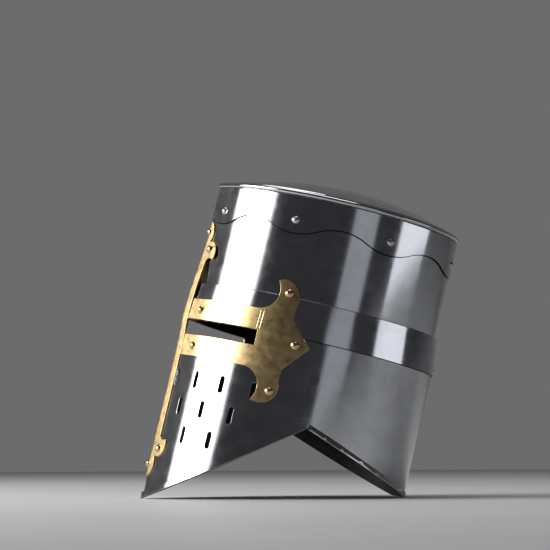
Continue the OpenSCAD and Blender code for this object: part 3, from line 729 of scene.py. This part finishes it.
def neck_outer(s, z):
    y = y_at(s, PLATE)
    hem = ramp(neck_low(y) + HEM_HEIGHT - z, -0.5, 0.4) * ramp(y, NOTCH_Y + 1, NOTCH_Y + 2)
    return PLATE + STEEL * hem - (PLATE - STEEL) * ramp(z, BAND_LOW, BAND_TOP)


def neck_inner(s, z):
    return PLATE - STEEL - (PLATE - STEEL) * ramp(z, BAND_LOW, BAND_TOP)


def hem_points(spans, low):
    """Close rows of points along the step of a hem, so that the step is crisp."""
    s = np.arange(spans[0], spans[1], 1.8)
    edge = low(y_at(s, PLATE))
    rows = [np.stack([s + k * 0.4, edge + HEM_HEIGHT + h], -1) for k, h in enumerate((0.6, -0.5))]
    return np.vstack(rows)


def slot_outline(s, z, long=16.5, wide=5.0):
    """Outline of an upright slot with round ends."""
    r = wide / 2
    h = (long - wide) / 2
    return arc(s, z + h, r, 180, 0, 9) + arc(s, z - h, r, 0, -180, 9)


def face_plate():
    s_notch, s_seam = s_at_y(NOTCH_Y, HEM), s_at_y(SEAM_Y, HEM)
    s_lap = s_at_y(LAP_Y, HEM)
    s = np.linspace(-s_notch, s_notch, 221)
    lower = [(a, float(face_low(y_at(a, HEM)))) for a in s]
    side = [(s_seam, NOTCH_Z + 30), (s_seam, BAND_LOW - 0.5), (s_lap, BAND_LOW - 0.5), (s_lap, FLANGE_TOP)]
    outline = lower + side + [(-a, z) for a, z in side[::-1]]
    z0, z1 = EYE_Z - SLOT_HALF, EYE_Z + SLOT_HALF
    holes = []
    for m in (1, -1):
        eye = [(6.2, z0), (6.2, z1), (SLOT_END, z1), (SLOT_END, z0)]
        holes.append([(m * a, z) for a, z in (eye if m > 0 else eye[::-1])])
        for row in range(3):
            for k in range(4 - row):
                along = BREATH_START + (k + row / 2) * BREATH_PITCH
                spot = slot_outline(along, BREATH_TOP - row * BREATH_ROW)
                holes.append([(m * a, z) for a, z in (spot if m > 0 else spot[::-1])])
    rows = np.arange(-216, -139, 1.6)
    lap_s = [s_at_y(LAP_Y + k, PLATE) for k in (-3.0, -2.5, -1.9, -1.25, -0.6, 0, 0.5)]
    joggle = np.array([(m * a, z) for a in lap_s for z in rows for m in (1, -1)])
    extra = np.vstack([hem_points((-s_notch, s_notch), face_low), joggle])
    cut_sheet("face_plate_sheet", [outline] + holes, face_outer, face_inner, steel_plate, ["face_plate"],
              extra=extra, bevel=0.35, shade_backing=SHEET_PAINTED_SHADE)


def neck_plate():
    s_lap, s_notch = s_at_y(LAP_Y + 0.2, PLATE), s_at_y(NOTCH_Y, PLATE)
    s = np.linspace(s_notch + 1, 2 * BACK - s_notch - 1, 190)
    lower = [(a, float(neck_low(y_at(a, HEM)))) for a in s]
    outline = [(s_lap, NOTCH_Z + 1), (s_notch, NOTCH_Z + 1)] + lower
    outline += [(2 * BACK - s_notch, NOTCH_Z + 1), (2 * BACK - s_lap, NOTCH_Z + 1)]
    outline += [(2 * BACK - s_lap, FLANGE_TOP), (s_lap, FLANGE_TOP)]
    cut_sheet("neck_plate_sheet", [outline], neck_outer, neck_inner, steel_plate, ["neck_plate"],
              extra=hem_points((s_notch + 2, 2 * BACK - s_notch - 2), neck_low), bevel=0.35, shade_backing=SHEET_PAINTED_SHADE)


face_plate()
neck_plate()


# Brass
def brass_face(z):
    """Outer face of the eye plates: on the band above its lower edge, on the face plate below."""
    on_band = HEM - BAND_SLOPE * (z - BAND_LOW)
    return BRASS + np.where(z > BAND_LOW, on_band, HEM - (HEM - PLATE) * ramp(BAND_LOW - z, 0, 1.2))


SCORES = (101.5, 104.6)


def eye_plate(name, m, node):
    """Brass round one eye slot, with a double scored line where the head begins."""
    upper = [(9.2, 28), (97, 28)] + arc(97, 46, 18, -84, 39.3, 20) + arc(118, 42.5, 16.5, 115.4, -22.9, 24)
    upper += [(133.2, 24.5), (154, 0)]
    lower = [(a, -z) for a, z in upper[::-1][1:]]
    slot = [(9.2, -SLOT_HALF), (SLOT_END, -SLOT_HALF), (SLOT_END, SLOT_HALF), (9.2, SLOT_HALF)]
    outline = upper + lower + slot
    outline = [(a, EYE_Z + z) for a, z in outline]

    def scored(s, z):
        a = np.abs(s)
        line = sum(np.clip(1 - np.abs(a - at) / 0.45, 0, 1) for at in SCORES)
        return brass_face(z) - 0.22 * line * (z > BAND_LOW + 1) * (z < EYE_Z + 27)

    outline = [(m * a, z) for a, z in (outline[::-1] if m > 0 else outline)]
    z = np.arange(-190, -100, 1.6)
    across = (-0.6, -0.3, 0, 0.3, 0.6)
    lines = [(m * (at + k), h) for at in SCORES for k in across for h in z if h > BAND_LOW]
    step = [(m * a, BAND_LOW + k) for a in np.arange(103.5, 153, 1.6) for k in (0.1, -1.25)]
    cut_sheet(name, [outline], scored, lambda s, z: brass_face(z) - BRASS + 0.02, brass_plate, [node],
              step=(3.2, 4), extra=np.array(lines + step), bevel=0.3, edge=1.6)


eye_plate("eye_plate_brass_left", 1, "eye_plate_left")
eye_plate("eye_plate_brass_right", -1, "eye_plate_right")

# Inner face of the keel bar: distance outside the wall and height
BAR_TOP, BAR_FOOT = -38, -295.5
BAR_PATH = [
    (0, BAR_TOP), (0, -54), (1.5, -73), (5.2, -108),
    (6.5, -128), (6.5, -139), (5.2, -159.5), (5.2, BAR_FOOT),
]


def bar_depth(z):
    heights = [p[1] for p in BAR_PATH[::-1]]
    return np.interp(z, heights, [p[0] for p in BAR_PATH[::-1]])


def fleur_half():
    """Half outline of a fleur, from its point at (0, 0) up to the bar's edge."""
    bud = (8 ** 2 + 13 ** 2) / 16
    out = []
    for x, y in arc(8 - bud, 13, bud, -62.5, 40, 40):
        if x >= 0 and math.hypot(x - 9.5, y - 33) >= 12:
            out.append((x, y))
    start = math.degrees(math.atan2(out[-1][1] - 33, out[-1][0] - 9.5))
    for x, y in arc(9.5, 33, 12, start, 92, 60):
        if math.hypot(x - 15, y - 46.5) >= 8.5:
            out.append((x, y))
        else:
            break
    start = math.degrees(math.atan2(out[-1][1] - 46.5, out[-1][0] - 15))
    out += [(x, y) for x, y in arc(15, 46.5, 8.5, start, -139, 16)][1:]
    return [p for p in out if p[0] > 0] + [(8.6, 42.0)]


def keel_bar():
    half = fleur_half()
    low = [(0, BAR_FOOT)] + [(x, BAR_FOOT + y) for x, y in half]
    high = [(x, BAR_TOP - y) for x, y in half[::-1]] + [(0, BAR_TOP)]
    right = low + high
    outline = right + [(-x, z) for x, z in right[::-1] if x > 0]
    width = KEEL_ROUND / math.tan(KEEL_ANGLE)
    across = [k * width for k in (-1.9, -1.3, -1, -0.5, 0, 0.5, 1, 1.3, 1.9)]
    fold = np.array([(a, z) for a in across for z in np.arange(-293.5, -39.5, 1.5)])
    cut_sheet("keel_bar_brass", [outline], lambda s, z: bar_depth(z) + BRASS,
              lambda s, z: bar_depth(z) + 0.02, brass_plate, ["keel_bar"],
              step=(3, 3), extra=fold, bevel=0.3, edge=1.6)


keel_bar()

# Rivets: (length along the wall, height, distance outside the wall under the head)
def band_face(z):
    return HEM - BAND_SLOPE * (z - BAND_LOW)


crown_spots = [(SCALLOP_START + k * SCALLOP_PITCH, CROWN_RIVET_Z, STEEL) for k in range(SCALLOPS)]
eye_spots = [
    (29, EYE_Z + 17, band_face(EYE_Z + 17) + BRASS + SEAT_GAP),
    (124, EYE_Z + 47, band_face(EYE_Z + 47) + BRASS + SEAT_GAP),
    (140.5, EYE_Z, PLATE + BRASS), (29, EYE_Z - 18, PLATE + BRASS), (127, EYE_Z - 47, PLATE + BRASS),
]
revolved("crown_rivet_heads", crown_spots, rivet_profile(3.8, 5.4), steel_rivet, ["crown_rivets"])
washer_profile = [(1.65, 0.1), (1.9, 0), (4.7, 0), (5, 0.3), (5, 0.6), (4.7, 0.8), (1.9, 0.8)]
revolved("crown_washers", [(s, z, -STEEL - LEATHER - 0.8) for s, z, d in crown_spots],
         washer_profile, steel_edge, ["crown_rivet_washers"])
for side, word in ((1, "left"), (-1, "right")):
    revolved("eye_rivet_heads_" + word, [(side * s, z, d) for s, z, d in eye_spots], rivet_profile(4.2, 3),
             brass_rivet, ["eye_rivets_" + word])
bar_spots = [(m * 11, z, bar_depth(z) + BRASS + gap)
             for m in (1, -1) for z, gap in ((-67, 0.3), (-266.5, 0))]
revolved("bar_rivet_heads", bar_spots, rivet_profile(4.2, 2.8), brass_rivet, ["keel_bar_rivets"])
fold_profile = [(4.2 * math.sin(a), 4.2 * math.cos(a)) for a in np.linspace(2.3, 0.06, 12)]
revolved("fold_rivet_heads", [(0, -49.5, BRASS - 1.8), (0, -282.5, PLATE + BRASS - 1.8)], fold_profile,
         brass_rivet, ["keel_bar_rivets"])
revolved("nape_rivet_head", [(BACK, BAND_LOW + 6, band_face(BAND_LOW + 6) + SEAT_GAP)],
         rivet_profile(3, 7, 2.4), steel_rivet, ["nape_rivet"])


# Liner
def band_foot(x, y):
    middle = LINER_BACK + min(max(y - LINER_BACK, -HEAD_SHIFT), HEAD_SHIFT)
    angle = math.atan2(y - middle, x)
    r = HEAD_RADIUS + LEATHER
    return np.array([r * math.cos(angle), middle + r * math.sin(angle)]), angle


def wall_vectors(s):
    x, y, t = (float(v) for v in wall(s))
    return np.array([x, y]), np.array([math.cos(t), math.sin(t)])


def hangers():
    parts, rivets = [], []
    for s, z, d in crown_spots:
        p, n = wall_vectors(s)
        foot, angle = band_foot(*p)
        out = np.array([math.cos(angle), math.sin(angle)])
        a = p - n * (STEEL + LEATHER / 2 + 0.05)
        b = foot + out * (LEATHER / 2 + 0.35)
        path, face = [], []
        for z in np.linspace(-20.5, -44, 12):
            path.append([*a, z])
            face.append([*n, 0])
        for k in np.linspace(0, 1, 18)[1:]:
            ease = k * k * (3 - 2 * k)
            path.append([*(a + (b - a) * ease), -45 + (LINER_TOP - 1 + 45) * k])
            mix = n * (1 - ease) + out * ease
            face.append([*mix, 0])
        for z in np.linspace(LINER_TOP - 3, LINER_TOP - 11, 5):
            path.append([*b, z])
            face.append([*out, 0])
        places = [0, 2, 11, 26, len(path) - 2, len(path) - 1]
        widths = np.interp(range(len(path)), places, [17, 22, 22, 16.5, 16, 13])
        parts.append(ribbon(path, face, widths, LEATHER))
        rivets.append((foot, out))
    v, f = joined(parts)
    make("hanger_straps", v, f, leather, ["liner_hangers"], smooth=50)
    return rivets


def liner_rivets(feet):
    verts, faces = [], []
    profile = [(0.3, -3.0), (2.2, -2.8), (3.0, -2.2), (3.0, -2.0)]
    profile += [(1.6, -2.0), (1.6, 2.25), (3.4, 2.25), (3.3, 2.6)]
    profile += [(3.4 * math.cos(a), 2.5 + 0.75 * math.sin(a)) for a in (0.4, 0.8, 1.15, 1.45)]
    sides = 18
    for foot, out in feet:
        out3 = np.array([*out, 0])
        side = np.array([-out[1], out[0], 0])
        base = len(verts)
        for r, h in profile:
            for k in range(sides):
                a = 2 * math.pi * k / sides
                verts.append(np.array([*foot, LINER_TOP - 5.0]) + side * r * math.cos(a)
                             + np.array([0, 0, r * math.sin(a)]) + out3 * h)
        for r in range(len(profile) - 1):
            for k in range(sides):
                j = (k + 1) % sides
                faces.append([base + r * sides + k, base + r * sides + j,
                              base + (r + 1) * sides + j, base + (r + 1) * sides + k])
        faces.append([base + k for k in range(sides)][::-1])
        faces.append([base + (len(profile) - 1) * sides + k for k in range(sides)])
    make("liner_rivet_caps", np.array(verts), faces, brass_rivet, ["liner_rivets"], smooth=45)


def headband():
    half = math.pi * HEAD_RADIUS + 2 * HEAD_SHIFT

    def outer(s, z):
        roll = ramp(np.abs(z - (LINER_TOP + LINER_LOW) / 2), 14, 17.7)
        return LEATHER - 0.5 * roll ** 2 - 0.12 * np.sin(s / 21) ** 2

    ring_sheet("headband_leather", level(LINER_TOP), level(LINER_LOW), outer, flat_layer(0.05),
               leather, ["liner_headband"], bevel=0.5, plan=oval, length=half, step=3, rows=14)
    s = np.arange(-half, half, 4.6)
    rows = []
    for z in (LINER_TOP - 2.6, LINER_LOW + 2.6):
        here = z + 0 * s
        a, b, n = directions(s, here, flat_layer(LEATHER), oval)
        rows.append(stitch_row(point(s, here, LEATHER - 0.25, oval), a, n))
        rows.append(stitch_row(point(s, here, 0.2 + 0 * s, oval), a, -n))
    v, f = joined(rows)
    make("headband_stitches", v, f, thread, ["liner_headband"], smooth=60)


def tongues():
    parts, rows = [], []
    for k in range(TONGUES):
        angle = math.radians((k + 0.5) * 360 / TONGUES)
        u = np.array([math.cos(angle), math.sin(angle)])
        shift = HEAD_SHIFT * u[1]
        length = abs(shift) + math.sqrt(HEAD_RADIUS ** 2 - (HEAD_SHIFT * u[0]) ** 2) - 0.6
        foot_z = LINER_TOP - 7.5
        drop = TONGUE_TOP - foot_z
        bow = (length ** 2 + drop ** 2) / (2 * drop)
        end = math.asin(min(1, (length - 0.4) / (bow - 1)))
        start = math.asin((TONGUE_HOLE + 0.4) / (bow - 1))
        path, face, widths = [], [], []
        for a in np.linspace(end, start, 26):
            r = (bow - 1) * math.sin(a)
            path.append([u[0] * r, u[1] * r + LINER_BACK, TONGUE_TOP - bow + (bow - 1) * math.cos(a)])
            face.append([*(u * math.sin(a)), math.cos(a)])
            widths.append(10 + 38 * (r - TONGUE_HOLE) / (length + 5 - TONGUE_HOLE))
        widths[-1] *= 0.75
        parts.append(ribbon(path, face, widths, LEATHER, 11))
        path, face, widths = np.array(path), np.array(face), np.array(widths)
        ahead = np.gradient(path, axis=0)
        ahead /= np.linalg.norm(ahead, axis=1, keepdims=True)
        across = np.cross(ahead, face)
        for m in (1, -1):
            t = np.arange(1.2, 24, 1.05)
            seam = path + across * (m * (widths[:, None] / 2 - 2.2))
            spots = np.stack([np.interp(t, range(26), seam[:, i]) for i in range(3)], -1)
            way = np.gradient(spots, axis=0)
            way /= np.linalg.norm(way, axis=1, keepdims=True)
            out = np.stack([np.interp(t, range(26), face[:, i]) for i in range(3)], -1)
            rows.append(stitch_row(spots - out * (LEATHER / 2 - 0.2), way, -out, 2.2))
    v, f = joined(parts)
    make("head_tongues", v, f, leather, ["liner_tongues"], smooth=50)
    v, f = joined(rows)
    make("tongue_stitches", v, f, thread, ["liner_tongues"], smooth=60)


def lace():
    r, z = TONGUE_HOLE + 7, TONGUE_TOP - 1.05
    a = np.linspace(0, 2 * math.pi, 160, endpoint=False)
    ring = np.stack([r * np.cos(a), r * np.sin(a) + LINER_BACK, z + 0.25 * np.sin(8 * a)], -1)
    parts = [tube(ring, 1.45, 12, True, 0.22, 26)]
    t = np.linspace(0, 2 * math.pi, 90, endpoint=False)
    knot = [np.sin(t) + 2 * np.sin(2 * t), np.cos(t) - 2 * np.cos(2 * t), -np.sin(3 * t)]
    knot = np.stack(knot, -1) * [0.55, 0.62, 0.7]
    parts.append(tube(knot + [r + 0.4, LINER_BACK, z + 0.6], 0.8, 10, True, 0.15, 14))
    v, f = joined(parts)
    make("crown_lace", v, f, lace_leather, ["liner_lace"], smooth=70)


def pad(name, node, middle):
    """Stuffed roll inside the headband, sewn into channels."""
    reach = HEAD_RADIUS * math.radians(48.5)
    low, high = LINER_LOW + 4.4, LINER_TOP - 12.4
    mid, half = (low + high) / 2, (high - low) / 2

    def inner(s, z):
        across = np.clip(np.abs(z - mid) / half, 0, 1)
        along = np.clip((reach - np.abs(s - middle)) / 9, 0, 1)
        channel = np.abs(((s - middle) / 16.8 + 0.5) % 1 - 0.5) * 2
        seam = 1 - 0.4 * np.clip(1 - (1 - channel) / 0.16, 0, 1) ** 2 * (channel > 0.5)
        bulge = (1 - across ** 2.6) ** 0.55 * np.sin(along * math.pi / 2) ** 0.6
        swell = 0.94 + 0.06 * np.sin(s * 0.9 + 1.3 * np.sin(z * 0.5))
        return -1.1 - 6.5 * bulge * seam * swell

    outline = [(middle - reach, low), (middle + reach, low), (middle + reach, high), (middle - reach, high)]
    obj = cut_sheet(name, [outline], lambda s, z: -0.35 + 0 * (s + z), inner, pad_leather, [node],
                    step=(1.5, 1.3), bevel=0.3, plan=oval, edge=1.4)
    rows = []
    for at in (low + 1.6, high - 1.6):
        s = np.arange(middle - reach + 3, middle + reach - 3, 4.2)
        here = at + 0 * s
        depth = inner(s, here)
        a, b, n = directions(s, here, inner, oval)
        rows.append(stitch_row(point(s, here, depth + 0.15, oval), a, -n, 2.4))
    v, f = joined(rows)
    make(name + "_stitches", v, f, thread, [node], smooth=60)


liner_rivets(hangers())
headband()
tongues()
lace()
pad("brow_cushion", "brow_pad", 0)
pad("nape_cushion", "nape_pad", math.pi * HEAD_RADIUS + 2 * HEAD_SHIFT)


# Floor, light and camera
FLOOR_RADIUS, FLOOR_SIDES = 3.2, 96


def stage():
    """Plain pale floor, just under the helmet."""
    m = Nodes("studio_floor")
    where = m.add("ShaderNodeTexCoord").outputs["Object"]
    m.join(m.ramp(m.noise(where, 3, 4), [(0.3, (0.62, 0.62, 0.62)), (0.7, (0.66, 0.66, 0.66))]),
           m.shader.inputs["Base Color"])
    m.shader.inputs["Roughness"].default_value = 0.6
    mesh = bpy.data.meshes.new("studio_floor")
    t = np.linspace(0, 2 * math.pi, FLOOR_SIDES, endpoint=False)
    rim = [(FLOOR_RADIUS * math.cos(a), FLOOR_RADIUS * math.sin(a), -0.0003) for a in t]
    mesh.from_pydata(rim, [], [list(range(FLOOR_SIDES))])
    floor = bpy.data.objects.new("studio_floor", mesh)
    mesh.materials.append(m.material)
    bpy.context.scene.collection.objects.link(floor)


def softbox(name, place_at, aim, size, power, colour=(1, 1, 1)):
    """Soft rectangular light, its size in metres and its power in watts, turned to aim."""
    light = bpy.data.lights.new(name, "AREA")
    light.shape = "RECTANGLE"
    light.size, light.size_y = size
    light.energy = power
    light.color = colour
    obj = bpy.data.objects.new(name, light)
    obj.location = place_at
    obj.rotation_euler = (Vector(aim) - Vector(place_at)).to_track_quat("-Z", "Y").to_euler()
    obj.visible_camera = False
    bpy.context.scene.collection.objects.link(obj)


stage()
centre = (0, 0, 0.17)
softbox("key_front", (0.0, -1.9, 0.85), centre, (1.2, 0.75), 38)
softbox("key_halo", (0.0, -2.0, 0.89), centre, (1.75, 1.1), 13)
softbox("side_panel", (2.29, 0.78, 0.35), centre, (0.86, 0.9), 0.95, (0.9, 0.93, 1))
softbox("rear_panel", (0.9, 1.95, 0.12), centre, (1.1, 0.5), 2.2, (0.93, 0.95, 1))
softbox("top_fill", (-0.3, 0.0, 2.2), centre, (1.4, 1.4), 14)


def studio_world():
    """Even grey surroundings, lighter on the side that stands behind the helmet."""
    world = bpy.data.worlds.new("studio")
    world.use_nodes = True
    tree = world.node_tree
    where = tree.nodes.new("ShaderNodeTexCoord")
    parts = tree.nodes.new("ShaderNodeSeparateXYZ")
    shade = tree.nodes.new("ShaderNodeValToRGB")
    span = tree.nodes.new("ShaderNodeMapRange")
    span.inputs["From Min"].default_value = -1.0
    span.inputs["From Max"].default_value = 1.0
    tree.links.new(where.outputs["Generated"], parts.inputs["Vector"])
    tree.links.new(parts.outputs["X"], span.inputs["Value"])
    tree.links.new(span.outputs["Result"], shade.inputs["Fac"])
    shade.color_ramp.elements[0].position = 0.06
    shade.color_ramp.elements[0].color = (0.15, 0.15, 0.15, 1)
    shade.color_ramp.elements[1].position = 0.45
    shade.color_ramp.elements[1].color = (0.042, 0.042, 0.046, 1)
    tree.links.new(shade.outputs["Color"], tree.nodes["Background"].inputs["Color"])
    bpy.context.scene.world = world


studio_world()
bpy.context.scene.view_settings.view_transform = "Standard"

camera_data = bpy.data.cameras.new("camera")
camera_data.sensor_width = 36
camera_data.lens = 2241.7 / 550 * 36
camera_data.clip_start = 0.05
camera = bpy.data.objects.new("camera", camera_data)
right = Vector((0.0896, 0.9960, -0.0051))
up = Vector((0.0789, -0.0020, 0.9969))
back = Vector((0.9928, -0.0897, -0.0787))
turn = Matrix((right, up, back)).transposed().to_4x4()
camera.matrix_world = Matrix.Translation((2.1801, -0.2211, 0.0439)) @ turn
bpy.context.scene.collection.objects.link(camera)
bpy.context.scene.camera = camera
